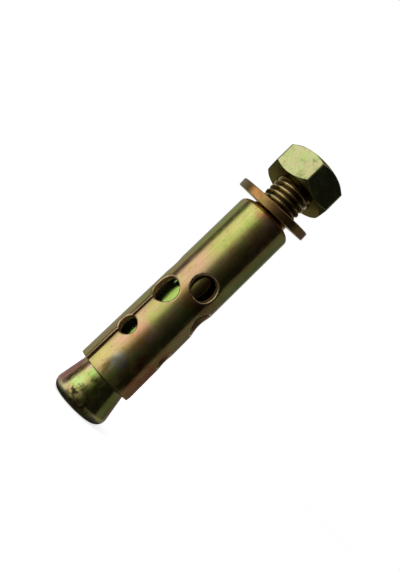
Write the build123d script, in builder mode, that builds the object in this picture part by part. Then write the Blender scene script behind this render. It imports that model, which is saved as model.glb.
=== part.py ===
from build123d import *
import os
from math import cos, radians, sin, sqrt, tan

# Sleeve anchor for heavy fixings in masonry: a stud with a forged cone on its lower end, a slotted
# sleeve rolled from steel strip round the stud, a thick flat washer and a hexagon nut.
# It stands on the flat end of the cone. +Z runs from the cone up to the nut, on the stud's axis.
# The front, where one large hole looks at you, is -Y. All sizes are in millimetres and degrees.

# Stud: rolled M10 thread above a smooth shank, which has the thread's pitch diameter
thread_d = 10.0
thread_pitch = 1.5
thread_length = 36.0
stud_proud = 1.0
stud_end_chamfer = 1.0
thread_runout = 0.6

# Cone forged on the stud's lower end
cone_length = 9.8
cone_half_angle = 10.0
cone_rim_radius = 2.3
cone_neck_radius = 6.0

# Expansion sleeve, rolled from strip, with a seam at the back
sleeve_length = 52.9
sleeve_wall = 1.5
sleeve_flare = 0.24
sleeve_flare_height = 24.0
sleeve_top_round = 1.1
sleeve_edge_break = 0.15
seam_width = 0.35

# Holes punched in the flat strip, and the slits that part the leaves
front_hole_d = 6.2
upper_hole_d = 6.6
lower_hole_d = 4.6
front_hole_height = 29.6
upper_hole_height = 23.5
lower_hole_height = 11.7
left_hole_line = -55.0
right_hole_line = 62.5
slit_line_angle = 59.5
slit_width_top = 0.45
slit_width_end = 0.95

# Washer, loose on the thread and leaning on the sleeve's top edge
washer_d = 20.3
washer_thickness = 2.2
washer_edge_round = 0.3
washer_lean = 16.0
washer_lean_direction = -115.0
washer_shift = 0.5
washer_shift_direction = 175.5

# Hexagon nut, chamfered on both sides
nut_across_flats = 17.0
nut_height = 7.75
nut_standoff = 9.75
nut_chamfer_angle = 42.0
nut_mouth_depth = 0.4
nut_turn = -102.5

# Clearances: each is measured on the radius
seat_clearance = 0.05
thread_clearance = 0.05
sleeve_play = 1.0
washer_play = 0.95
washer_clearance = 0.25

# Places that follow from the sizes
shank_d = thread_d - 0.6495 * thread_pitch
sleeve_bore_r = thread_d / 2 + sleeve_play
sleeve_r = sleeve_bore_r + sleeve_wall
sleeve_end_bore_r = sleeve_bore_r + sleeve_flare
cone_slope = tan(radians(cone_half_angle))
cone_end_r = sleeve_end_bore_r - seat_clearance + cone_length * cone_slope
sleeve_z = cone_length
sleeve_top_z = sleeve_z + sleeve_length
nut_z = sleeve_top_z + nut_standoff
stud_length = nut_z + nut_height + stud_proud
neck_z = (cone_end_r - shank_d / 2) / cone_slope
thread_z = stud_length - thread_length


def radial_plane(direction, height, distance):
    """A plane that faces outwards at a direction round the axis, with its Y axis along +Z."""
    out = Vector(cos(radians(direction)), sin(radians(direction)), 0)
    side = Vector(-sin(radians(direction)), cos(radians(direction)), 0)
    return Plane(origin=out * distance + Vector(0, 0, height), x_dir=side, z_dir=out)


# The stud is one forged and rolled piece: flat end, rounded rim, cone, shank, thread, end chamfer
with BuildPart() as cone_stud:
    with BuildSketch(Plane.XZ) as stud_profile:
        with BuildLine():
            Polyline(
                (0, 0),
                (cone_end_r, 0),
                (shank_d / 2, neck_z),
                (shank_d / 2, thread_z - thread_runout),
                (thread_d / 2, thread_z),
                (thread_d / 2, stud_length - stud_end_chamfer),
                (thread_d / 2 - stud_end_chamfer, stud_length),
                (0, stud_length),
                close=True,
            )
        make_face()
        fillet(stud_profile.vertices().sort_by_distance((cone_end_r, 0, 0))[0], cone_rim_radius)
        fillet(stud_profile.vertices().sort_by_distance((shank_d / 2, neck_z, 0))[0], cone_neck_radius)
    revolve(axis=Axis.Z)
cone_stud.part.label = "cone_stud"

# The sleeve's wall: straight above, opening a little towards its lower end, rolled in at the top
flare_z = sleeve_z + sleeve_flare_height
with BuildPart() as expansion_sleeve:
    with BuildSketch(Plane.XZ) as wall_profile:
        with BuildLine():
            Polyline(
                (sleeve_bore_r, sleeve_top_z),
                (sleeve_bore_r, flare_z),
                (sleeve_end_bore_r, sleeve_z),
                (sleeve_r + sleeve_flare, sleeve_z),
                (sleeve_r, flare_z),
                (sleeve_r, sleeve_top_z),
                close=True,
            )
        make_face()
        fillet(wall_profile.vertices().sort_by_distance((sleeve_r, sleeve_top_z, 0))[0], sleeve_top_round)
        chamfer(
            wall_profile.vertices().sort_by_distance((sleeve_r + sleeve_flare, sleeve_z, 0))[0],
            sleeve_edge_break,
        )
        chamfer(
            wall_profile.vertices().sort_by_distance((sleeve_bore_r, sleeve_top_z, 0))[0],
            sleeve_edge_break,
        )
    revolve(axis=Axis.Z)

    # Round holes punched in the flat strip become wider across on the outside when it is rolled,
    # so each one is a loft that grows with the distance from the axis
    strip_r = sleeve_r - sleeve_wall / 2
    near = sleeve_bore_r / 2
    far = sleeve_r + 2 * sleeve_flare
    holes = [(front_hole_height, turn, front_hole_d) for turn in (0, 120, 240)]
    for turn in (left_hole_line, right_hole_line, 180):
        holes.append((upper_hole_height, turn, upper_hole_d))
        holes.append((lower_hole_height, turn, lower_hole_d))
    for height, turn, diameter in holes:
        spread = tan(diameter / 2 / strip_r)
        with BuildSketch(radial_plane(turn - 90, sleeve_z + height, near)):
            Ellipse(near * spread, diameter / 2)
        with BuildSketch(radial_plane(turn - 90, sleeve_z + height, far)):
            Ellipse(far * spread, diameter / 2)
        loft(mode=Mode.SUBTRACT)

    # Slits that part the leaves, from each large side hole down to the end, wider where the
    # leaves have opened
    for turn in (-slit_line_angle, slit_line_angle, 180):
        with BuildSketch(radial_plane(turn - 90, sleeve_z, 0)):
            with BuildLine():
                Polyline(
                    (-slit_width_end / 2, -1),
                    (slit_width_end / 2, -1),
                    (slit_width_top / 2, upper_hole_height),
                    (-slit_width_top / 2, upper_hole_height),
                    close=True,
                )
            make_face()
        extrude(amount=far, mode=Mode.SUBTRACT)

    # The seam where the strip's edges meet at the back, up to the top
    with BuildSketch(radial_plane(90, sleeve_z, 0)):
        Rectangle(seam_width, sleeve_length + 1, align=(Align.CENTER, Align.MIN))
    extrude(amount=far, mode=Mode.SUBTRACT)
expansion_sleeve.part.label = "expansion_sleeve"

# The washer rests on the sleeve's top edge on its low side and leans there
lean_slope = tan(radians(washer_lean))
lean = Vector(
    sin(radians(washer_lean)) * cos(radians(washer_lean_direction)),
    sin(radians(washer_lean)) * sin(radians(washer_lean_direction)),
    cos(radians(washer_lean)),
)
shift = Vector(cos(radians(washer_shift_direction)), sin(radians(washer_shift_direction)), 0)
# Where the leaning lower face comes nearest to the rounded top edge of the sleeve
round_centre_r = sleeve_r - sleeve_top_round
round_centre_z = sleeve_top_z - sleeve_top_round
lower_face_reach = (sleeve_top_round + washer_clearance) / cos(radians(washer_lean))
lower_face_z = round_centre_z + lower_face_reach + round_centre_r * lean_slope
centre_rise = (washer_thickness / 2 - washer_shift * shift.dot(lean)) / lean.Z
washer_centre = shift * washer_shift + Vector(0, 0, lower_face_z + centre_rise)
with BuildPart() as flat_washer:
    with BuildSketch(Plane(origin=washer_centre, z_dir=lean)):
        Circle(washer_d / 2)
        Circle(thread_d / 2 + washer_play, mode=Mode.SUBTRACT)
    extrude(amount=washer_thickness / 2, both=True)
    rims = flat_washer.edges().filter_by(GeomType.CIRCLE).group_by(SortBy.RADIUS)[-1]
    fillet(rims, washer_edge_round)
flat_washer.part.label = "flat_washer"

# The nut: a hexagon cut by a cone on both sides, so that each corner ends in an arc
with BuildPart() as hex_nut:
    with BuildSketch(Plane.XY.offset(nut_z)):
        RegularPolygon(nut_across_flats / 2, 6, major_radius=False, rotation=nut_turn)
    extrude(amount=nut_height)
    flat_r = nut_across_flats / 2
    corner_r = nut_across_flats / sqrt(3) + 1
    drop = (corner_r - flat_r) * tan(radians(nut_chamfer_angle))
    with BuildSketch(Plane.XZ):
        with BuildLine():
            Polyline(
                (0, nut_z),
                (flat_r, nut_z),
                (corner_r, nut_z + drop),
                (corner_r, nut_z + nut_height - drop),
                (flat_r, nut_z + nut_height),
                (0, nut_z + nut_height),
                close=True,
            )
        make_face()
    revolve(axis=Axis.Z, mode=Mode.INTERSECT)
    # Bore and the countersunk mouth on each side
    nut_bore_r = thread_d / 2 + thread_clearance
    with BuildSketch(Plane.XZ):
        with BuildLine():
            Polyline(
                (0, nut_z),
                (nut_bore_r + nut_mouth_depth, nut_z),
                (nut_bore_r, nut_z + nut_mouth_depth),
                (nut_bore_r, nut_z + nut_height - nut_mouth_depth),
                (nut_bore_r + nut_mouth_depth, nut_z + nut_height),
                (0, nut_z + nut_height),
                close=True,
            )
        make_face()
    revolve(axis=Axis.Z, mode=Mode.SUBTRACT)
hex_nut.part.label = "hex_nut"

os.makedirs("parts", exist_ok=True)
export_step(cone_stud.part, "parts/cone_stud.step")
export_step(expansion_sleeve.part, "parts/expansion_sleeve.step")
export_step(flat_washer.part, "parts/flat_washer.step")
export_step(hex_nut.part, "parts/hex_nut.step")
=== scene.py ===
# %% [markdown]
# Sleeve anchor, dressed over its CAD frame.
# The frame brings the solids, the bodies and the joints; this lesson builds the pieces that the eye
# sees: a forged and rolled stud, a sleeve rolled from strip, a stamped washer and a hexagon nut,
# all with an iridescent yellow chromate over zinc.

# %% Load the frame
import bpy
import bmesh
from math import cos, pi, radians, sin, sqrt, tan
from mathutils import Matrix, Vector


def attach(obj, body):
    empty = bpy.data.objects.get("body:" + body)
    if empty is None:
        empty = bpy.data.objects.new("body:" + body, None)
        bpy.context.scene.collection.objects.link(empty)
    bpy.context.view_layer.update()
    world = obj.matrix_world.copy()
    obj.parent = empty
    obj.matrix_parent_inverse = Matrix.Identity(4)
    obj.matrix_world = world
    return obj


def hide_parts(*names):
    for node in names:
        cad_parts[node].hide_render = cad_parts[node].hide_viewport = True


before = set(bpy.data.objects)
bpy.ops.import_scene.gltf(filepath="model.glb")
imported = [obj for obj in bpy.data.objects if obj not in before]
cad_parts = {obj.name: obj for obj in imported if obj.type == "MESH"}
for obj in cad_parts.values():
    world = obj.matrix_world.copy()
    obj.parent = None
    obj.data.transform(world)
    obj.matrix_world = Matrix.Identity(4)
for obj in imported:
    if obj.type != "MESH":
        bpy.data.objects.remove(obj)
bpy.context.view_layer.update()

# %% [markdown]
# Every size below is in millimetres, as on a workshop drawing, and repeats the CAD. Blender's tools
# have thresholds that suit things of a few units across, so the pieces are modelled at a thousand
# times their size and shrunk to metres when they are finished. A turn is an angle in degrees from
# the front, which is -Y, towards +X.

# %% Sizes
thread_r = 5.0
thread_pitch = 1.5
thread_length = 36.0
shank_r = thread_r - 0.32476 * thread_pitch
bore_r = 6.0
wall = 1.5
outside_r = bore_r + wall
strip_r = bore_r + wall / 2
flare = 0.24
flare_height = 24.0
cone_length = 9.8
cone_slope = tan(radians(10))
seat_clearance = 0.05
cone_end_r = bore_r + flare - seat_clearance + cone_length * cone_slope
sleeve_z = cone_length
sleeve_length = 52.9
sleeve_top = sleeve_z + sleeve_length
top_round = 1.1
nut_standoff = 9.75
nut_z = sleeve_top + nut_standoff
nut_height = 7.75
nut_top = nut_z + nut_height
nut_across = 17
stud_proud = 1.0
stud_top = nut_top + stud_proud
thread_z = stud_top - thread_length
print("sleeve from", sleeve_z, "to", round(sleeve_top, 2))
print("nut from", round(nut_z, 2), "to", round(nut_top, 2), "and stud up to", round(stud_top, 2))

# %% [markdown]
# Operators act on whatever is selected, so each step first takes hold of one piece. These small
# helpers do what the hand does again and again: pick a piece, apply a modifier, cut with another
# piece, merge what lies on top of each other, and shrink the finished piece to metres.

# %% Helpers for picking and finishing
millimetre = 0.001
smooth_below = radians(32)


def leave_edit():
    """Go back to object mode, so that a new primitive becomes a piece of its own."""
    if bpy.context.object and bpy.context.object.mode != "OBJECT":
        bpy.ops.object.mode_set(mode="OBJECT")
    bpy.ops.object.select_all(action="DESELECT")


def take(piece):
    """Make this piece the only one that operators act on."""
    leave_edit()
    piece.select_set(True)
    bpy.context.view_layer.objects.active = piece


def open_edit(piece, mode="VERT"):
    """Open a piece in edit mode with nothing selected and return its editing mesh."""
    take(piece)
    bpy.ops.object.mode_set(mode="EDIT")
    bpy.ops.mesh.select_mode(type=mode)
    bpy.ops.mesh.select_all(action="DESELECT")
    return bmesh.from_edit_mesh(piece.data)


def pick(piece, grid, elements):
    """Select these vertices, edges or faces of a piece that is open in edit mode."""
    for element in elements:
        element.select_set(True)
    grid.select_flush_mode()
    bmesh.update_edit_mesh(piece.data)


def apply_place(piece):
    """Write the place, turn and scale of a piece into its mesh, so that its origin is the world's."""
    take(piece)
    bpy.ops.object.transform_apply(location=True, rotation=True, scale=True)


def shape(piece, kind, **settings):
    """Give a piece a modifier with these settings and apply it."""
    take(piece)
    modifier = piece.modifiers.new(kind.title(), kind)
    for name, value in settings.items():
        setattr(modifier, name, value)
    bpy.ops.object.modifier_apply(modifier=modifier.name)


def weld(piece, distance=0.001):
    """Merge vertices that lie together and turn all faces outwards."""
    open_edit(piece)
    bpy.ops.mesh.select_all(action="SELECT")
    bpy.ops.mesh.remove_doubles(threshold=distance)
    bpy.ops.mesh.normals_make_consistent(inside=False)
    bpy.ops.object.mode_set(mode="OBJECT")


def carve(piece, tool, operation="DIFFERENCE"):
    """Cut a piece with another one, join them, or keep what they share; the tool is used up."""
    shape(piece, "BOOLEAN", object=tool, operation=operation, solver="EXACT")
    bpy.data.objects.remove(tool)


def finish(piece, body, node):
    """Shrink a piece to metres, smooth its faces, and let it stand for a node of the frame."""
    piece.scale = (millimetre, millimetre, millimetre)
    apply_place(piece)
    bpy.ops.object.shade_smooth_by_angle(angle=smooth_below)
    shape(piece, "WEIGHTED_NORMAL", mode="FACE_AREA", weight=60, keep_sharp=True)
    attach(piece, body)
    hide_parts(node)
    print(piece.name, "faces", len(piece.data.polygons))


# %% [markdown]
# Turned shapes start as one line: a point is extruded along half of the outline, and the line is
# spun round the axis. A rounded corner is a short arc in that line.

# %% Helpers for lines and spins
def rounded(before, corner, after, radius, steps):
    """Points of an arc that rounds a corner of an outline."""
    corner, before, after = Vector(corner), Vector(before), Vector(after)
    one, two = (before - corner).normalized(), (after - corner).normalized()
    half = one.angle(two) / 2
    centre = corner + (one + two).normalized() * (radius / sin(half))
    start = (corner + one * (radius / tan(half)) - centre).normalized()
    end = (corner + two * (radius / tan(half)) - centre).normalized()
    points = []
    for step in range(steps + 1):
        points.append(centre + start.slerp(end, step / steps) * radius)
    return [(point.x, point.y) for point in points]


def draw(name, points, closed=False):
    """Extrude a point along an outline of (distance from the axis, height) pairs."""
    leave_edit()
    bpy.ops.mesh.primitive_plane_add(size=1)
    piece = bpy.context.object
    piece.name = name
    bpy.ops.object.mode_set(mode="EDIT")
    bpy.ops.mesh.select_mode(type="VERT")
    bpy.ops.mesh.merge(type="CENTER")
    bpy.ops.transform.translate(value=(points[0][0], 0, points[0][1]))
    for (r0, z0), (r1, z1) in zip(points, points[1:]):
        bpy.ops.mesh.extrude_vertices_move(TRANSFORM_OT_translate={"value": (r1 - r0, 0, z1 - z0)})
    if closed:
        grid = bmesh.from_edit_mesh(piece.data)
        ends = [vertex for vertex in grid.verts if len(vertex.link_edges) < 2]
        bpy.ops.mesh.select_all(action="DESELECT")
        pick(piece, grid, ends)
        bpy.ops.mesh.edge_face_add()
    return piece


def spin(name, points, steps, closed=False):
    """Spin an outline round the Z axis into a closed shape."""
    piece = draw(name, points, closed)
    bpy.ops.mesh.select_all(action="SELECT")
    bpy.ops.mesh.spin(steps=steps, angle=2 * pi, center=(0, 0, 0), axis=(0, 0, 1))
    weld(piece)
    return piece


# %% [markdown]
# The thread is rolled: hard rollers press the grooves into the blank, so its roots are rounded and
# the metal that flows up from both sides leaves a fine seam along each crest. One pitch of its
# outline is carried round and up by a Screw modifier, and a flat cut closes each end. The same rod,
# a hair larger, cuts the nut's thread, so the two fit at any turn.

# %% Threaded rod
# One pitch from root to root, as (distance from the axis, height) pairs; the seam is in the middle
thread_outline = (
    (4.12, -0.75), (4.17, -0.62), (4.91, -0.19), (4.99, -0.13), (4.99, -0.08), (4.93, 0.0),
    (4.99, 0.08), (4.99, 0.13), (4.91, 0.19), (4.17, 0.62), (4.12, 0.75),
)
thread_steps = 48
thread_weld = 0.0005
spare_turns = 2


def threaded_rod(name, low, high, ease=0.0):
    """A right-handed threaded rod between two heights, with its crests on one common helix."""
    first = int(low / thread_pitch) - spare_turns
    turns = int((high - low) / thread_pitch) + 2 * spare_turns + 1
    piece = draw(name, [(r + ease, first * thread_pitch + z) for r, z in thread_outline])
    shape(piece, "SCREW", angle=2 * pi, screw_offset=thread_pitch, iterations=turns,
          steps=thread_steps, render_steps=thread_steps, use_merge_vertices=True,
          merge_threshold=thread_weld)
    for height, outer in ((low, False), (high, True)):
        open_edit(piece)
        bpy.ops.mesh.select_all(action="SELECT")
        bpy.ops.mesh.bisect(plane_co=(0, 0, height), plane_no=(0, 0, 1), use_fill=True,
                            clear_outer=outer, clear_inner=not outer, threshold=0.00001)
    weld(piece, thread_weld)
    return piece


# %% [markdown]
# The stud is one piece. Its blank is forged: a flat end with a rounded rim, and a cone that runs
# into the shank over a small radius. The thread is joined on, and both its ends are shaped by
# keeping only what lies inside a plain spun shape.

# %% Stud
rim_radius, neck_radius = 2.3, 6.0
neck_z = (cone_end_r - shank_r) / cone_slope
rim = rounded((0, 0), (cone_end_r, 0), (shank_r, neck_z), rim_radius, 8)
neck = rounded((cone_end_r, 0), (shank_r, neck_z), (shank_r, thread_z), neck_radius, 5)
# The blank's upper end tapers to less than the thread's roots and lies inside the rod
core_r, core_top = 4.0, thread_z + 1.2
end_ring, shank_ring = rim[0][0] * 0.6, 30
stud = spin("stud_piece", [(0, 0), (end_ring, 0)] + rim + neck + [
    (shank_r, shank_ring), (shank_r, thread_z), (core_r, core_top), (0, core_top)], 128)
# The crests rise on a slope at the lower end, and a chamfer takes them off at the upper end
start_r, start_z, full_z = 4.45, thread_z - 0.2, thread_z + 1.8
past_crest, chamfer_z, end_r = 5.2, stud_top - 1.2, 4.0
rod = threaded_rod("rod", thread_z - 0.3, stud_top + 0.5)
carve(rod, spin("rod_limit", [
    (0, start_z), (start_r, start_z), (past_crest, full_z), (past_crest, chamfer_z),
    (end_r, stud_top), (0, stud_top)], 128), "INTERSECT")
carve(stud, rod, "UNION")
weld(stud, thread_weld)
finish(stud, "stud", "cone_stud")


# %% [markdown]
# The sleeve begins as the real one does, as a flat strip. Round holes and tapered slits are punched
# through it. The strip's middle becomes the front, and its two ends meet in a seam at the back, so
# the holes on the seam are punched as two halves.

# %% Punches for the strip
def punch_hole(height, turn, diameter):
    """A round punch at a height above the strip's end and at a turn from its middle."""
    bpy.ops.mesh.primitive_cylinder_add(
        vertices=56, radius=diameter / 2, depth=3 * wall, rotation=(pi / 2, 0, 0),
        location=(radians(turn) * strip_r, 0, sleeve_z + height))
    return bpy.context.object


def punch_slit(turn, width_end, width_top, height):
    """A tapered punch from just past the strip's end up to a height, wider at the end."""
    middle, past_end = radians(turn) * strip_r, 1
    bpy.ops.mesh.primitive_cube_add(
        size=1, location=(middle, 0, sleeve_z + height / 2 - past_end / 2))
    slit = bpy.context.object
    slit.scale = (width_top, 3 * wall, height + past_end)
    apply_place(slit)
    grid = open_edit(slit)
    pick(slit, grid, [vertex for vertex in grid.verts if vertex.co.z < sleeve_z])
    bpy.ops.transform.resize(value=(width_end / width_top, 1, 1), center_override=(middle, 0, 0))
    bpy.ops.object.mode_set(mode="OBJECT")
    return slit


# %% Sleeve as a flat strip
seam_width = 0.35
strip_length = 2 * pi * strip_r - seam_width
front_height, front_d = 29.6, 6.2
upper_height, upper_d = 23.5, 6.6
lower_height, lower_d = 11.7, 4.6
left_line, right_line, slit_line = -55, 62.5, 59.5
slit_width_end, slit_width_top = 0.95, 0.45
sliver = 0.06
bpy.ops.mesh.primitive_cube_add(size=1, location=(0, 0, sleeve_z + sleeve_length / 2))
sleeve = bpy.context.object
sleeve.name = "sleeve_piece"
sleeve.scale = (strip_length, wall, sleeve_length)
apply_place(sleeve)
for turn in (0, 120, -120):
    carve(sleeve, punch_hole(front_height, turn, front_d))
for turn in (left_line, right_line, 180, -180):
    carve(sleeve, punch_hole(upper_height, turn, upper_d))
    carve(sleeve, punch_hole(lower_height, turn, lower_d))
for turn in (-slit_line, slit_line):
    carve(sleeve, punch_slit(turn, slit_width_end, slit_width_top, upper_height))
weld(sleeve, sliver)
print("punched strip", len(sleeve.data.polygons), "faces")

# %% [markdown]
# A punch drags the metal down with it, so each hole has a rolled-over rim on the outside. A bevel
# of the rims makes it, a larger one rounds the sleeve's top edge, and a narrow one breaks the rest.

# %% Rounded top edge, rolled-over rims and broken edges
rim_roll, edge_break = 0.5, 0.13
near, longest_side, seam_margin = 0.01, 1, 0.05
holes_from, holes_to = sleeve_z + 1, sleeve_z + 34
grid = open_edit(sleeve, "EDGE")
pick(sleeve, grid, [edge for edge in grid.edges if all(
    abs(vertex.co.z - sleeve_top) < near and vertex.co.y < 0 for vertex in edge.verts)])
bpy.ops.mesh.bevel(offset=top_round, segments=8, profile=0.5)


def on_rim(edge):
    """Tell whether an edge of the strip's outer face runs round a hole."""
    one, two = edge.verts[0].co, edge.verts[1].co
    if max(one.y, two.y) > near - wall / 2 or (one - two).length > longest_side:
        return False
    ends = max(abs(one.x), abs(two.x)) > strip_length / 2 - seam_margin
    return not ends and min(one.z, two.z) > holes_from and max(one.z, two.z) < holes_to


grid = open_edit(sleeve, "EDGE")
pick(sleeve, grid, [edge for edge in grid.edges if on_rim(edge)])
bpy.ops.mesh.bevel(offset=rim_roll, segments=6, profile=0.5, clamp_overlap=False)
shape(sleeve, "BEVEL", width=edge_break, segments=2, limit_method="ANGLE",
      angle_limit=radians(50), use_clamp_overlap=False)
print("bevelled strip", len(sleeve.data.polygons), "faces")

# %% [markdown]
# The leaves are folded out a little along the line of the holes above the slits. The front leaf
# has sprung further at its free corner beside the right slit, where it also hangs lower. Many
# narrow cuts give the strip the joints to bend at, and a Simple Deform modifier rolls it up.

# %% Leaves folded out, then the strip rolled up
leaf_end, spring_width, spring_out, spring_down = 7.0, 6.9, 0.3, 0.6
fold_z = sleeve_z + flare_height
cuts = 144
open_edit(sleeve)
bpy.ops.mesh.select_all(action="SELECT")
bpy.ops.mesh.bisect(plane_co=(0, 0, fold_z), plane_no=(0, 0, 1), threshold=0.0001)
grid = open_edit(sleeve)
for vertex in grid.verts:
    if vertex.co.z < fold_z:
        share = 1 - (vertex.co.z - sleeve_z) / flare_height
        reach = min(max(vertex.co.x / spring_width, 0), 1) ** 2 if vertex.co.x < leaf_end else 0
        vertex.co.y -= (flare + spring_out * reach) * share
        vertex.co.z -= spring_down * reach * share
bmesh.update_edit_mesh(sleeve.data)
for step in range(1, cuts):
    place = (step / cuts - 0.5) * strip_length
    bpy.ops.mesh.select_all(action="SELECT")
    bpy.ops.mesh.bisect(plane_co=(place, 0, 0), plane_no=(1, 0, 0), threshold=0.0001)
bpy.ops.object.mode_set(mode="OBJECT")
shape(sleeve, "SIMPLE_DEFORM", deform_method="BEND", deform_axis="Z", angle=strip_length / strip_r)
for vertex in sleeve.data.vertices:
    vertex.co.y -= strip_r
finish(sleeve, "sleeve", "expansion_sleeve")

# %% [markdown]
# The washer is stamped from thick strip, so its upper edge is rolled over and its lower edge is
# sharper. It leans on the rounded top edge of the sleeve, which is how it was lying when it was
# photographed, and the lean and the shift below are the same as in the CAD.

# %% Washer
washer_r, washer_bore, washer_half = 10.15, 5.95, 1.1
upper_round, lower_round, upper_break, lower_break = 0.45, 0.2, 0.15, 0.1
outline = (
    [(washer_bore + upper_break, washer_half)]
    + rounded((0, washer_half), (washer_r, washer_half), (washer_r, -washer_half), upper_round, 5)
    + rounded((washer_r, washer_half), (washer_r, -washer_half), (0, -washer_half), lower_round, 3)
    + [(washer_bore + lower_break, -washer_half), (washer_bore, -washer_half + lower_break),
       (washer_bore, washer_half - upper_break)]
)
washer = spin("washer_piece", outline, 128, closed=True)
lean, lean_way = radians(16), radians(-115)
shift_length, shift_way = 0.5, radians(175.5)
washer_clearance = 0.25
axis = Vector((sin(lean) * cos(lean_way), sin(lean) * sin(lean_way), cos(lean)))
shift = Vector((cos(shift_way), sin(shift_way), 0))
# The lower face touches the rounded edge's arc, but for the clearance
arc_r, arc_z = outside_r - top_round, sleeve_top - top_round
lower_face = arc_z + (top_round + washer_clearance) / cos(lean) + arc_r * tan(lean)
rise = (washer_half - shift_length * shift.dot(axis)) / axis.z
washer.rotation_mode = "QUATERNION"
washer.rotation_quaternion = axis.to_track_quat("Z", "Y")
washer.location = shift * shift_length + Vector((0, 0, lower_face + rise))
apply_place(washer)
finish(washer, "washer", "flat_washer")

# %% [markdown]
# The nut is a hexagon whose corners a cone has cut on both sides, which leaves an arc on each flat.
# A six-sided cylinder meets a spun double cone, the bevel takes the sharpness off its edges, and
# the larger threaded rod and two small cones cut the thread and its mouths.

# %% Nut
nut_turn, chamfer_angle = radians(-12.5), radians(42)
upright_round, nut_break, nut_sliver = 0.4, 0.14, 0.02
nut_corner_r = nut_across / sqrt(3)
limit_r, face_r = nut_corner_r + 1, 8.35
drop = (limit_r - face_r) * tan(chamfer_angle)
tap_ease, tap_past = 0.06, 1
mouth_r, tip_r, tip_depth = 6.45, 4.0, 1.45
bpy.ops.mesh.primitive_cylinder_add(
    vertices=6, radius=nut_corner_r, depth=nut_height,
    location=(0, 0, nut_z + nut_height / 2), rotation=(0, 0, nut_turn))
nut = bpy.context.object
nut.name = "nut_piece"
apply_place(nut)
grid = open_edit(nut, "EDGE")
pick(nut, grid, [edge for edge in grid.edges if abs(edge.verts[0].co.z - edge.verts[1].co.z) > 1])
bpy.ops.mesh.bevel(offset=upright_round, segments=4, profile=0.5)
carve(nut, spin("nut_limit", [
    (0, nut_z), (face_r, nut_z), (limit_r, nut_z + drop), (limit_r, nut_top - drop),
    (face_r, nut_top), (0, nut_top)], 144), "INTERSECT")
weld(nut, nut_sliver)
shape(nut, "BEVEL", width=nut_break, segments=2, limit_method="ANGLE", angle_limit=radians(24))
carve(nut, threaded_rod("nut_tap", nut_z - tap_past, nut_top + tap_past, tap_ease))
for height, way in ((nut_z, 1), (nut_top, -1)):
    carve(nut, spin("mouth", [
        (0, height - way), (mouth_r, height - way), (tip_r, height + tip_depth * way),
        (0, height + tip_depth * way)], 96))
weld(nut, thread_weld)
finish(nut, "nut", "hex_nut")


# %% [markdown]
# The finish: zinc under a yellow chromate film. The film is thinner than a wavelength of light in
# places, so its colour wanders between brass, green and rose. The wandering is painted as a mix of
# soft patches in the metal's own colour, because the colours belong to places on the real piece.
# Four pieces share the film, so it is a shader group with an input for each thing that differs.

# %% Helpers for shader nodes
def socket(group, name, way, kind, value=None):
    """Give a group an input or an output, and an input its usual value."""
    made = group.interface.new_socket(name=name, in_out=way, socket_type=kind)
    if value is not None:
        made.default_value = value


def node(tree, kind, **settings):
    """Add a node with these settings."""
    made = tree.nodes.new(kind)
    for name, value in settings.items():
        setattr(made, name, value)
    return made


def linear(r, g, b):
    """A colour written as it looks on a screen, turned to the linear values that shaders use."""
    values = [c / 255 / 12.92 if c <= 10 else ((c / 255 + 0.055) / 1.055) ** 2.4 for c in (r, g, b)]
    return (*values, 1)


def in_millimetres(tree, along=1.0):
    """The place on the piece in millimetres, pressed together along the axis by a factor."""
    scaled = node(tree, "ShaderNodeMapping")
    scaled.inputs["Scale"].default_value = (1000, 1000, 1000 * along)
    tree.links.new(node(tree, "ShaderNodeTexCoord").outputs["Object"], scaled.inputs["Vector"])
    return scaled.outputs["Vector"]


def sums(tree, operation, one, two, vector=False):
    """A math node; each of the two is an output to link or a plain value."""
    made = node(tree, "ShaderNodeVectorMath" if vector else "ShaderNodeMath", operation=operation)
    for number, value in enumerate((one, two)):
        if isinstance(value, bpy.types.NodeSocket):
            tree.links.new(value, made.inputs[number])
        elif value is not None:
            made.inputs[number].default_value = value
    return made.outputs["Value" if operation == "LENGTH" else 0]


def ramp(tree, value, low, high, start=0.0, end=1.0):
    """A soft step of a value, from start at low to end at high."""
    step = node(tree, "ShaderNodeMapRange", interpolation_type="SMOOTHSTEP")
    for name, number in (("From Min", low), ("From Max", high), ("To Min", start), ("To Max", end)):
        step.inputs[name].default_value = number
    tree.links.new(value, step.inputs["Value"])
    return step.outputs["Result"]


def cloud(tree, place, scale, detail, shift=(0, 0, 0)):
    """Noise at a place, moved by a shift so that no two clouds are alike."""
    texture = node(tree, "ShaderNodeTexNoise")
    texture.inputs["Detail"].default_value = detail
    if isinstance(scale, bpy.types.NodeSocket):
        tree.links.new(scale, texture.inputs["Scale"])
    else:
        texture.inputs["Scale"].default_value = scale
    tree.links.new(sums(tree, "ADD", place, shift, vector=True), texture.inputs["Vector"])
    return texture.outputs["Fac"]


def blend(tree, factor, one, two, mode="MIX"):
    """A mix of two colours; each is an output to link or a plain colour."""
    mix = node(tree, "ShaderNodeMix", data_type="RGBA", blend_type=mode)
    for name, value in (("Factor", factor), ("A", one), ("B", two)):
        made = [entry for entry in mix.inputs if entry.name == name and entry.enabled][0]
        if isinstance(value, bpy.types.NodeSocket):
            tree.links.new(value, made)
        else:
            made.default_value = value
    return [entry for entry in mix.outputs if entry.enabled][0]


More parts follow.
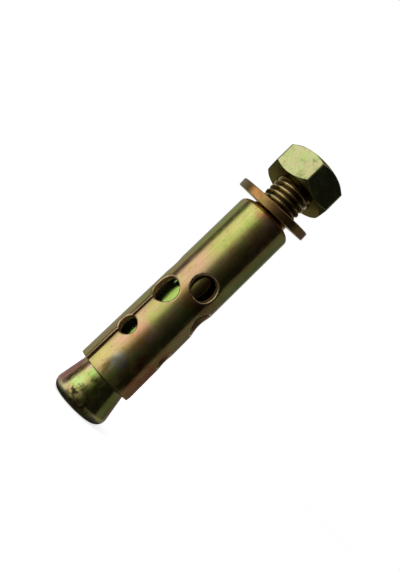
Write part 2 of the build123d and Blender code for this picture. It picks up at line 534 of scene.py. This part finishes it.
# %% Chromate film as a shader group
def build_film():
    """Colour, roughness, relief and flecks of the film, all told by the place on the piece."""
    group = bpy.data.node_groups.new("chromate", "ShaderNodeTree")
    for name, tint in (("Brass", linear(208, 190, 122)), ("Green", linear(182, 203, 98)),
                       ("Rose", linear(230, 184, 150)), ("Copper", linear(178, 128, 74))):
        socket(group, name, "INPUT", "NodeSocketColor", tint)
    for name, value in (("Patch size", 0.14), ("Stretch", 0.4), ("Streaks", 0.4), ("Speckle", 0.3)):
        socket(group, name, "INPUT", "NodeSocketFloat", value)
    socket(group, "Color", "OUTPUT", "NodeSocketColor")
    for name in ("Roughness", "Height", "Flecks"):
        socket(group, name, "OUTPUT", "NodeSocketFloat")
    inputs = node(group, "NodeGroupInput").outputs
    outputs = node(group, "NodeGroupOutput").inputs
    place = in_millimetres(group)
    stretch = node(group, "ShaderNodeCombineXYZ")
    stretch.inputs[0].default_value = 1
    stretch.inputs[1].default_value = 1
    group.links.new(inputs["Stretch"], stretch.inputs[2])
    drawn = sums(group, "MULTIPLY", place, stretch.outputs[0], vector=True)
    colour, size = inputs["Brass"], inputs["Patch size"]
    # Layers of patches, large ones first: scale, detail, shift, soft edge from and to, most, tint
    for scale, detail, shift, low, high, most, tint in (
        (size, 3.0, (3, 7, 1), 0.42, 0.6, 1.0, "Green"),
        (size, 3.0, (31, 2, 17), 0.53, 0.68, 1.0, "Rose"),
        (size, 4.0, (11, 23, 5), 0.58, 0.74, 1.0, "Copper"),
        (0.7, 4.0, (8, 4, 6), 0.42, 0.62, 0.5, "Rose"),
        (1.1, 5.0, (2, 14, 3), 0.46, 0.64, 0.5, "Green"),
    ):
        mask = ramp(group, cloud(group, drawn, scale, detail, shift), low, high, 0.0, most)
        colour = blend(group, mask, colour, inputs[tint])
    # Streaks run far along the axis, speckles and flecks are small dots
    lines = ramp(group, cloud(group, in_millimetres(group, 0.03), 3.4, 4.0, (1, 1, 1)), 0.3, 0.7)
    streaks = sums(group, "MULTIPLY", lines, inputs["Streaks"])
    dots = ramp(group, cloud(group, place, 3.2, 4.0, (5, 9, 2)), 0.56, 0.74)
    speckles = sums(group, "MULTIPLY", dots, inputs["Speckle"])
    colour = blend(group, speckles, colour, inputs["Copper"])
    grain = cloud(group, in_millimetres(group, 0.7), 1.5, 6.0, (4, 4, 9))
    flecks = sums(group, "MAXIMUM", ramp(group, grain, 0.5, 0.72, 0.0, 0.75), streaks)
    worn = ramp(group, cloud(group, place, 0.45, 4.0, (2, 2, 9)), 0.35, 0.68, 0.1, 0.24)
    group.links.new(colour, outputs["Color"])
    group.links.new(worn, outputs["Roughness"])
    group.links.new(flecks, outputs["Flecks"])
    group.links.new(sums(group, "SUBTRACT", streaks, speckles), outputs["Height"])
    return group


film_group = build_film()
print("film group with", len(film_group.nodes), "nodes")


# %% [markdown]
# The film also has stains where the piece hung in the bath, lay against another or dripped. A stain
# is a soft ball of another colour round a place on the piece, with an edge that noise makes ragged.
# A few of these soft balls are not stains but painted shade, a painted highlight and a painted reflection.

# %% Stain as a shader group
def build_stain_and_painted_light():
    """A colour with a soft patch over it, a stain in most uses and painted light and shade in a few, and
    its mask.
    """
    group = bpy.data.node_groups.new("stain_and_painted_light", "ShaderNodeTree")
    socket(group, "Color", "INPUT", "NodeSocketColor", (1, 1, 1, 1))
    socket(group, "Tint", "INPUT", "NodeSocketColor", (1, 1, 1, 1))
    socket(group, "Place", "INPUT", "NodeSocketVector")
    for name, value in (("Across", 3.0), ("Along", 5.0), ("Amount", 0.8), ("Ragged", 1.6), ("Grain", 0.5)):
        socket(group, name, "INPUT", "NodeSocketFloat", value)
    socket(group, "Color", "OUTPUT", "NodeSocketColor")
    socket(group, "Mask", "OUTPUT", "NodeSocketFloat")
    inputs = node(group, "NodeGroupInput").outputs
    outputs = node(group, "NodeGroupOutput").inputs
    place = in_millimetres(group)
    size = node(group, "ShaderNodeCombineXYZ")
    for number, name in enumerate(("Across", "Across", "Along")):
        group.links.new(inputs[name], size.inputs[number])
    away = sums(group, "SUBTRACT", place, inputs["Place"], vector=True)
    away = sums(group, "DIVIDE", away, size.outputs[0], vector=True)
    reach = sums(group, "LENGTH", away, None, vector=True)
    noise = sums(group, "SUBTRACT", cloud(group, place, inputs["Grain"], 5.0), 0.5)
    ragged = sums(group, "MULTIPLY", noise, inputs["Ragged"])
    mask = ramp(group, sums(group, "ADD", reach, ragged), 0.3, 1.2, 1.0, 0.0)
    mask = sums(group, "MULTIPLY", mask, inputs["Amount"])
    # Thin places in the stain let the film's own colour through
    thin = cloud(group, in_millimetres(group, 0.4), 0.8, 5.0, (6, 1, 4))
    mask = sums(group, "MULTIPLY", mask, ramp(group, thin, 0.34, 0.6, 0.4))
    group.links.new(blend(group, mask, inputs["Color"], inputs["Tint"]), outputs["Color"])
    group.links.new(mask, outputs["Mask"])
    return group


stain_and_painted_light_group = build_stain_and_painted_light()
print("stain group with", len(stain_and_painted_light_group.nodes), "nodes")


# %% [markdown]
# The rolled thread is darker towards the bottom of its groove, and its crest has a painted highlight.
# How deep a point lies is its distance from the axis. The nut takes the same group, which darkens the
# inner part of its thread and leaves its faces alone.

# %% Thread depth as a shader group
def build_groove():
    """A colour darker towards the bottom of a thread, with a painted highlight on its crest."""
    group = bpy.data.node_groups.new("groove", "ShaderNodeTree")
    socket(group, "Color", "INPUT", "NodeSocketColor", (1, 1, 1, 1))
    socket(group, "Root tint", "INPUT", "NodeSocketColor", linear(104, 80, 46))
    socket(group, "Crest highlight", "INPUT", "NodeSocketColor", linear(246, 232, 190))
    socket(group, "Color", "OUTPUT", "NodeSocketColor")
    socket(group, "Mask", "OUTPUT", "NodeSocketFloat")
    inputs = node(group, "NodeGroupInput").outputs
    outputs = node(group, "NodeGroupOutput").inputs
    flat = sums(group, "MULTIPLY", in_millimetres(group), (1, 1, 0), vector=True)
    reach = sums(group, "LENGTH", flat, None, vector=True)
    # The darkening fades from the root outwards, and the painted highlight lies round the crest's radius
    depth = ramp(group, reach, 4.3, 4.9, 1.0, 0.0)
    crest_highlight = sums(group, "MULTIPLY", ramp(group, reach, 4.92, 4.98),
                  ramp(group, reach, 5.01, 5.02, 1.0, 0.0))
    colour = blend(group, depth, inputs["Color"], inputs["Root tint"])
    group.links.new(blend(group, crest_highlight, colour, inputs["Crest highlight"]), outputs["Color"])
    group.links.new(depth, outputs["Mask"])
    return group


groove_group = build_groove()
print("groove group with", len(groove_group.nodes), "nodes")


# %% [markdown]
# Every finish is a metal with the film's colour, then its stains and painted patches in the order of
# their list, then fine flecks that darken all of it, and in a thread the darker roots and the painted
# highlight on the crests. A rule tells each face of a piece which finish it has.

# %% Materials of the pieces
film_tints = ("Brass", "Green", "Rose", "Copper")
stain_and_painted_light_inputs = ("Place", "Across", "Along", "Tint", "Amount", "Ragged", "Grain")
fleck_tint = linear(216, 210, 194)
groove_dull = 0.25
relief_strength, relief_depth = 0.1, 0.00004


def on_round(turn, height, radius=outside_r):
    """A point on a round piece, by its turn from the front and its height, in millimetres."""
    way = radians(turn - 90)
    return (radius * cos(way), radius * sin(way), height)


def plated(name, tints=(), stains_and_painted_light=(), rough=None, metal=1.0, groove=False, dull=0.0, **values):
    """A chromated steel with its own tints, amounts of patches, streaks and speckles, and stains, a few of
    them painted light and shade.
    """
    material = bpy.data.materials.new(name)
    material.use_nodes = True
    tree = material.node_tree
    shader = tree.nodes["Principled BSDF"]
    shader.inputs["Metallic"].default_value = metal
    film = node(tree, "ShaderNodeGroup", node_tree=film_group)
    for key, tint in zip(film_tints, tints):
        film.inputs[key].default_value = linear(*tint)
    for key, value in values.items():
        film.inputs[key.replace("_", " ")].default_value = value
    colour, roughness = film.outputs["Color"], film.outputs["Roughness"]
    # Stains, and a few patches of painted light and shade, laid on in the order of the list
    for place, across, along, tint, amount, *rest in stains_and_painted_light:
        spot = node(tree, "ShaderNodeGroup", node_tree=stain_and_painted_light_group)
        for key, value in zip(stain_and_painted_light_inputs, (place, across, along, linear(*tint), amount, *rest)):
            spot.inputs[key].default_value = value
        tree.links.new(colour, spot.inputs["Color"])
        colour = spot.outputs["Color"]
        if dull and rest:
            duller = sums(tree, "MULTIPLY", spot.outputs["Mask"], dull)
            roughness = sums(tree, "ADD", roughness, duller)
    colour = blend(tree, film.outputs["Flecks"], colour, fleck_tint, "MULTIPLY")
    # In a thread the roots are darkened and the crests get a painted highlight
    if groove:
        root_tint_node = node(tree, "ShaderNodeGroup", node_tree=groove_group)
        tree.links.new(colour, root_tint_node.inputs["Color"])
        colour = root_tint_node.outputs["Color"]
        duller = sums(tree, "MULTIPLY", root_tint_node.outputs["Mask"], groove_dull)
        roughness = sums(tree, "ADD", roughness, duller)
    relief = node(tree, "ShaderNodeBump")
    relief.inputs["Strength"].default_value = relief_strength
    relief.inputs["Distance"].default_value = relief_depth
    tree.links.new(colour, shader.inputs["Base Color"])
    if rough is None:
        tree.links.new(roughness, shader.inputs["Roughness"])
    else:
        shader.inputs["Roughness"].default_value = rough
    tree.links.new(film.outputs["Height"], relief.inputs["Height"])
    tree.links.new(relief.outputs["Normal"], shader.inputs["Normal"])
    return material


def paint_faces(piece, materials, choose):
    """Give a piece its materials and let a rule choose one of them for each face."""
    piece.data.materials.clear()
    for material in materials:
        piece.data.materials.append(material)
    for face in piece.data.polygons:
        face.material_index = choose(face)
    print(piece.name, "has", [material.name for material in materials])


# %% [markdown]
# A stain is a line of place, reach across and along in millimetres, colour and amount, and for some
# also how ragged it is and how fine. On the cone, those that say how fine are dull, as soot is. A few
# lines are painted light and shade, each marked where it stands.

# %% Finish of the stud: cone, shank and thread
peach, lime = (226, 182, 148), (190, 204, 104)
maroon, amber, soot = (186, 118, 104), (200, 138, 82), (58, 44, 32)


def on_cone(turn, height):
    """A point on the cone, by its turn from the front and its height."""
    return on_round(turn, height, cone_end_r - height * cone_slope)


cone_finish = plated("cone_finish", Streaks=0.0, Speckle=0.4, Patch_size=0.2, dull=0.3, stains_and_painted_light=(
    (on_cone(-90, 5), 4.0, 7.0, (198, 122, 118), 1.0),
    (on_cone(-52, 9), 1.4, 1.5, (236, 184, 160), 0.95),
    (on_cone(-37, 8.8), 1.5, 1.8, (176, 214, 120), 0.85),
    (on_cone(-46, 5.4), 2.4, 2.4, (200, 230, 140), 0.95),
    (on_cone(-58, 2), 2.4, 1.6, (220, 212, 170), 0.8),
    (on_cone(-6, 5.0), 3.0, 6.0, (120, 128, 68), 0.8),
    (on_cone(-14, 7.0), 1.9, 3.4, (84, 92, 38), 0.8),
    (on_cone(-12, 2.6), 4.2, 2.4, soot, 0.9, 3.0, 1.4),
    (on_cone(-42, 1.2), 1.7, 1.2, (96, 82, 70), 0.8, 2.0, 0.9),
    (on_cone(-35, 3.0), 1.1, 0.8, soot, 0.9, 3.0, 1.7),
    (on_cone(-27, 4.6), 1.4, 1.0, soot, 0.9, 3.0, 1.7),
    (on_cone(-21, 8.0), 1.1, 0.8, soot, 0.9, 3.0, 1.9),
    # This narrow dark band is painted shade, a dark reflection band between the rosy edge and the
    # highlight
    (on_cone(-61, 6.0), 1.1, 5.5, (70, 34, 24), 1.0, 0.5, 0.9),
    # This grey patch on the rim is a painted reflection of the pale floor
    (on_cone(34, 0.5), 2.6, 1.4, (176, 174, 168), 0.9, 2.0, 0.9),
    (on_cone(36, 6), 2.6, 5.0, (140, 176, 74), 0.8),
    (on_cone(70, 5), 2.6, 6.0, maroon, 0.7),
))
shank_finish = plated(
    "shank_finish", ((150, 118, 66), (140, 126, 70), (160, 112, 74), (110, 78, 42)),
    Streaks=0.2, Speckle=0.2, rough=0.2,
    # The long bright green stripe down the shank is a painted highlight
    stains_and_painted_light=((on_round(-96, 36, 4.5), 6.0, 40.0, (192, 248, 122), 1.0, 0.3, 0.5),))
thread_finish = plated(
    "thread_finish", ((200, 184, 120), (180, 176, 104), (190, 156, 110)),
    Streaks=0.0, Speckle=0.3, groove=True)
CONE, SHANK, THREAD = range(3)


def stud_face(face):
    """Cone and turned end, shank, or thread, told by the height and by where the face looks."""
    height = face.center.z * 1000
    turned_end = height > stud_top - 1.3 and face.normal.z > 0.4
    if height < sleeve_z + 1.5 or turned_end:
        return CONE
    return SHANK if height < thread_z - 0.3 else THREAD


paint_faces(stud, (cone_finish, shank_finish, thread_finish), stud_face)

# %% [markdown]
# The sleeve's bore and its lower end face are painted darker than its outside, as painted shade, and
# are duller. The walls of the holes are torn by the punch and matt, and the rolled-over rims round
# them are rubbed smooth.

# %% Finish of the sleeve: outside, bore, and the walls of the holes and slits
sleeve_finish = plated("sleeve_finish", stains_and_painted_light=(
    (on_round(-42, 41), 5.4, 7.0, peach, 0.85),
    (on_round(-54, 24), 3.0, 5.5, peach, 0.9),
    (on_round(-24, 22), 1.8, 3.5, (232, 160, 116), 0.8),
    (on_round(-40, 13), 4.0, 4.0, (224, 206, 128), 0.9),
    (on_round(-17, 18), 2.2, 6.0, (200, 172, 86), 0.8),
    (on_round(-30, 27.5), 2.4, 3.6, lime, 0.5),
    (on_round(-36, 53), 4.4, 8.0, lime, 0.75),
    (on_round(-44, 57), 2.0, 6.0, (226, 214, 142), 0.7),
    (on_round(-20, 61), 2.8, 1.8, (214, 132, 100), 0.8),
    (on_round(4, 62.5), 5.0, 1.6, (122, 92, 50), 0.9),
    (on_round(8, 35.5), 7.0, 2.8, amber, 0.85),
    (on_round(44, 16), 6.5, 8.5, (206, 122, 84), 0.95),
    (on_round(-16, 14.5), 2.3, 3.0, (170, 190, 194), 0.75),
    # This dark olive patch low on the sleeve is painted shade that narrows the highlight there
    (on_round(-25, 11.0), 1.3, 4.5, (124, 102, 36), 0.9),
    (on_round(50, 51), 6.0, 13.0, (158, 188, 100), 0.95),
    (on_round(34, 37), 4.0, 5.0, (176, 138, 90), 0.85),
    (on_round(8, 52), 4.5, 12.0, (206, 160, 100), 0.7),
))
# The bore and the lower end face get a darker film, painted shade inside the tube
bore_painted_shade = plated(
    "bore_painted_shade", ((66, 52, 32), (52, 50, 30), (76, 54, 38), (46, 32, 20)), rough=0.5, metal=0.8)
punched_finish = plated(
    "punched_finish", ((158, 124, 80), (140, 120, 74), (168, 120, 86), (110, 74, 44)),
    rough=0.4, metal=0.7, Patch_size=0.5, Streaks=0.0)
rim_finish = plated(
    "rim_finish", ((206, 176, 136), (190, 176, 122), (222, 180, 154), (150, 106, 70)),
    rough=0.24, Patch_size=0.3, Streaks=0.0)
OUTSIDE, BORE, PUNCHED, RIM = range(4)


def sleeve_face(face):
    """Outside, bore, punched wall or rolled-over rim, told by where the face looks."""
    out = Vector((face.center.x, face.center.y, 0)).normalized().dot(face.normal)
    height = face.center.z * 1000
    from_end = min(height - sleeve_z, sleeve_top - height)
    if face.normal.z < -0.3 and from_end < 0.4:
        return BORE
    if from_end < 1.2:
        return OUTSIDE if out > -0.4 else BORE
    return BORE if out < -0.4 else PUNCHED if out < 0.2 else RIM if out < 0.985 else OUTSIDE


paint_faces(sleeve, (sleeve_finish, bore_painted_shade, punched_finish, rim_finish), sleeve_face)

# %% [markdown]
# The washer has a browner film. The nut's bearing face and its chamfers get a darker copy of its
# film than its flats and its top, as painted shade.

# %% Finish of the washer and the nut
washer_finish = plated(
    "washer_finish", ((176, 136, 84), (154, 136, 78), (198, 142, 92), (116, 74, 40)),
    Streaks=0.0, Speckle=0.6, Patch_size=0.3, Stretch=1.0, rough=0.3, stains_and_painted_light=(
        (on_round(-80, 66, 10), 3.0, 4.0, (140, 142, 108), 0.9),
        (on_round(-50, 65, 10), 3.4, 4.0, (206, 150, 90), 0.8),
        (on_round(-8, 65, 10), 4.0, 4.0, (150, 116, 70), 0.8),
        (on_round(60, 66, 10), 4.0, 5.0, (150, 96, 66), 0.8),
    ))
nut_finish = plated(
    "nut_finish", ((200, 200, 140), (186, 206, 130), (208, 192, 150), (122, 112, 64)),
    Streaks=0.0, Speckle=0.6, Patch_size=0.22, Stretch=1.0, groove=True,
    stains_and_painted_light=((on_round(18, 76, 9), 6.0, 6.0, (160, 152, 104), 0.6),))
# A darker copy of the nut's film, painted shade on the bearing face and the chamfers
bearing_painted_shade = plated(
    "bearing_painted_shade", ((96, 86, 50), (88, 94, 48), (100, 80, 54), (64, 46, 28)),
    Streaks=0.0, Speckle=0.6, Patch_size=0.3, Stretch=1.0, rough=0.26)
bearing_shader = bearing_painted_shade.node_tree.nodes["Principled BSDF"]
bearing_shader.inputs["Specular Tint"].default_value = linear(201, 196, 178)


def nut_face(face):
    """Second finish, painted shade, for the bearing face and both chamfers, first for the flats and the
    top.
    """
    upper_chamfer = 0.6 < face.normal.z < 0.9
    return 1 if face.normal.z < -0.6 or upper_chamfer else 0


paint_faces(washer, (washer_finish,), lambda face: 0)
paint_faces(nut, (nut_finish, bearing_painted_shade), nut_face)


# %% [markdown]
# The studio: a floor and a world that look white to the camera, one lamp overhead, and cards round,
# under and over the anchor that only reflections see. Polished plating shows what stands round it,
# so the cards draw its light and dark bands, such as the tall window's on the left, and they light
# nothing else.

# %% Floor and world
def white_for_camera(tree, plain, camera_shader):
    """Show one shader to the camera, also by way of metal or glass, and another to the lamp's light."""
    path = node(tree, "ShaderNodeLightPath")
    mix = node(tree, "ShaderNodeMixShader")
    seen = sums(tree, "MAXIMUM", path.outputs["Is Camera Ray"], path.outputs["Is Glossy Ray"])
    seen = sums(tree, "MAXIMUM", seen, path.outputs["Is Transmission Ray"])
    tree.links.new(seen, mix.inputs[0])
    tree.links.new(plain, mix.inputs[1])
    tree.links.new(camera_shader, mix.inputs[2])
    return mix.outputs[0]


bpy.ops.mesh.primitive_plane_add(size=6, location=(0, 0, -0.00002))
floor = bpy.context.object
floor.name = "floor"
floor_paint = bpy.data.materials.new("floor_paint")
floor_paint.use_nodes = True
tree = floor_paint.node_tree
tree.nodes.remove(tree.nodes["Principled BSDF"])
dull = node(tree, "ShaderNodeBsdfDiffuse")
dull.inputs["Color"].default_value = (0.8, 0.8, 0.8, 1)
glow = node(tree, "ShaderNodeEmission")
glow.inputs["Strength"].default_value = 0.75
both = node(tree, "ShaderNodeAddShader")
tree.links.new(dull.outputs[0], both.inputs[0])
tree.links.new(glow.outputs[0], both.inputs[1])
tree.links.new(white_for_camera(tree, dull.outputs[0], both.outputs[0]),
               tree.nodes["Material Output"].inputs["Surface"])
floor.data.materials.append(floor_paint)

world = bpy.data.worlds.new("studio")
bpy.context.scene.world = world
world.use_nodes = True
tree = world.node_tree
room = tree.nodes["Background"]
room.inputs["Color"].default_value = (0.3, 0.3, 0.3, 1)
white = node(tree, "ShaderNodeBackground")
white.inputs["Color"].default_value = (1, 1, 1, 1)
tree.links.new(white_for_camera(tree, room.outputs[0], white.outputs[0]),
               tree.nodes["World Output"].inputs["Surface"])
print("floor", round(floor.dimensions.x, 1), "m wide, world", world.name)

# %% [markdown]
# The camera stands close to the anchor and is rolled to one side, so the upright anchor leans in
# the picture. Its place, turn and lens were fitted to the photograph.

# %% Camera
# The way from the anchor to the camera, as an angle from +X
view_way = radians(-104)
camera_data = bpy.data.cameras.new("camera")
camera_data.lens = 37.159
camera_data.sensor_width = 36
camera_data.clip_start = 0.01
camera = bpy.data.objects.new("camera", camera_data)
bpy.context.scene.collection.objects.link(camera)
camera.location = (-0.033636, -0.134908, 0.023101)
camera.rotation_euler = (radians(99.9603), radians(-45.3263), radians(-21.2484))
bpy.context.scene.camera = camera
bpy.context.scene.view_settings.view_transform = "Standard"
print("camera", round(camera.location.length, 3), "m from the anchor's foot")

# %% [markdown]
# Each card glows in grey levels that change from place to place. Round the anchor, they are listed
# by the angle from the camera, with the window between -80 and -20 degrees. The table's levels are
# weaker, with a painted shadow under the anchor. Both flat cards take the surround's levels at their edge.

# %% Cards that only reflections see
def card(name, levels):
    """Turn the active object into a card that glows in these levels for reflections alone."""
    made = bpy.context.object
    made.name = name
    apply_place(made)
    paint = bpy.data.materials.new(name)
    paint.use_nodes = True
    tree = paint.node_tree
    tree.nodes.remove(tree.nodes["Principled BSDF"])
    glow = node(tree, "ShaderNodeEmission")
    turned = node(tree, "ShaderNodeMapping")
    turned.inputs["Rotation"].default_value = (0, 0, -view_way)
    tree.links.new(node(tree, "ShaderNodeTexCoord").outputs["Object"], turned.inputs["Vector"])
    parts = node(tree, "ShaderNodeSeparateXYZ")
    tree.links.new(turned.outputs["Vector"], parts.inputs[0])
    tree.links.new(levels(tree, parts.outputs), glow.inputs["Color"])
    tree.links.new(glow.outputs[0], tree.nodes["Material Output"].inputs["Surface"])
    made.data.materials.append(paint)
    for ray in ("camera", "diffuse", "shadow", "transmission"):
        setattr(made, "visible_" + ray, False)
    print(name, "is", round(made.dimensions.x, 2), "m wide")


# %% Levels of the cards
# Pairs of an angle in degrees, from the camera towards its right, and a grey level
surround_levels = (
    (-180, 0.55), (-166, 0.5), (-154, 0.33), (-110, 0.37), (-104, 0.12), (-89, 0.12), (-83, 0.5),
    (-76, 0.97), (-68, 1.07), (-50, 1.07), (-36, 0.96), (-27, 0.84), (-20, 0.58), (-12, 0.29),
    (-5, 0.165), (0, 0.115), (14, 0.055), (26, 0.03), (50, 0.012), (75, 0.01), (81, 0.11),
    (90, 0.14), (142, 0.11), (158, 0.45), (180, 0.55),
)
table_levels = (
    (-180, 0.3), (-150, 0.5), (-110, 0.4), (-80, 0.6), (-66, 0.9), (-44, 0.85), (-28, 0.5),
    (-12, 0.15), (0, 0.1), (40, 0.12), (75, 0.26), (110, 0.26), (150, 0.22), (180, 0.3),
)


def round_the_anchor(tree, parts, stops=surround_levels):
    """Grey levels by the angle round the axis, where the camera is at 0 and its right at 90 degrees."""
    angle = node(tree, "ShaderNodeMath", operation="ARCTAN2")
    tree.links.new(parts["Y"], angle.inputs[0])
    tree.links.new(parts["X"], angle.inputs[1])
    share = sums(tree, "ADD", sums(tree, "MULTIPLY", angle.outputs[0], 1 / (2 * pi)), 0.5)
    levels = node(tree, "ShaderNodeValToRGB")
    for number, (degrees, level) in enumerate(stops):
        elements, at = levels.color_ramp.elements, (degrees + 180) / 360
        stop = elements[number] if number < 2 else elements.new(at)
        stop.position = at
        stop.color = (level, level, level, 1)
    tree.links.new(share, levels.inputs["Fac"])
    return levels.outputs["Color"]


def over_distance(tree, parts, low, high):
    """How far a point lies from the axis, as a share between two distances in metres."""
    flat = node(tree, "ShaderNodeCombineXYZ")
    tree.links.new(parts["X"], flat.inputs["X"])
    tree.links.new(parts["Y"], flat.inputs["Y"])
    reach = sums(tree, "LENGTH", flat.outputs[0], None, vector=True)
    share = sums(tree, "DIVIDE", sums(tree, "SUBTRACT", reach, low), high - low)
    return sums(tree, "MINIMUM", sums(tree, "MAXIMUM", share, 0.0), 1.0)


def across_the_table(tree, parts):
    """A painted shadow under the anchor, the table's own levels round it, and the surround's at the far
    side.
    """
    out_of_painted_shadow = over_distance(tree, parts, 0.0075, 0.012)
    near_levels = round_the_anchor(tree, parts, table_levels)
    near = blend(tree, out_of_painted_shadow, (0.03, 0.03, 0.03, 1), near_levels)
    return blend(tree, over_distance(tree, parts, 0.02, 0.11), near, round_the_anchor(tree, parts))


def over_the_anchor(tree, parts):
    """A mid grey above the anchor and the surround's levels at the far side."""
    from_middle = over_distance(tree, parts, 0.05, 0.12)
    return blend(tree, from_middle, (0.6, 0.6, 0.6, 1), round_the_anchor(tree, parts))


# %% The three cards
card_r = 0.12
bpy.ops.mesh.primitive_cylinder_add(
    vertices=256, radius=card_r, depth=0.25, end_fill_type="NOTHING", location=(0, 0, 0.1245))
card("surround", round_the_anchor)
for name, height, levels in (("table_card", -0.00001, across_the_table),
                             ("ceiling_card", 0.249, over_the_anchor)):
    bpy.ops.mesh.primitive_circle_add(
        vertices=128, radius=card_r, fill_type="NGON", location=(0, 0, height))
    card(name, levels)

# %% [markdown]
# One large square lamp hangs over the table, to the left of the camera, and gives the soft light
# that the matt places show. Reflections don't see it, because the cards stand for what they show.

# %% Lamp over the table
lamp_way = view_way + radians(-60)
lamp_distance, lamp_height, middle_height = 0.3, 0.6, 0.04
lamp_data = bpy.data.lights.new("overhead", "AREA")
lamp_data.shape = "SQUARE"
lamp_data.size = 0.5
lamp_data.energy = 1.6
lamp = bpy.data.objects.new("overhead", lamp_data)
bpy.context.scene.collection.objects.link(lamp)
lamp.location = (lamp_distance * cos(lamp_way), lamp_distance * sin(lamp_way), lamp_height)
to_middle = Vector((0, 0, middle_height)) - lamp.location
lamp.rotation_euler = to_middle.to_track_quat("-Z", "Y").to_euler()
lamp.visible_glossy = False
print("lamp of", round(lamp_data.energy, 1), "W,", round(to_middle.length, 2), "m from the middle")
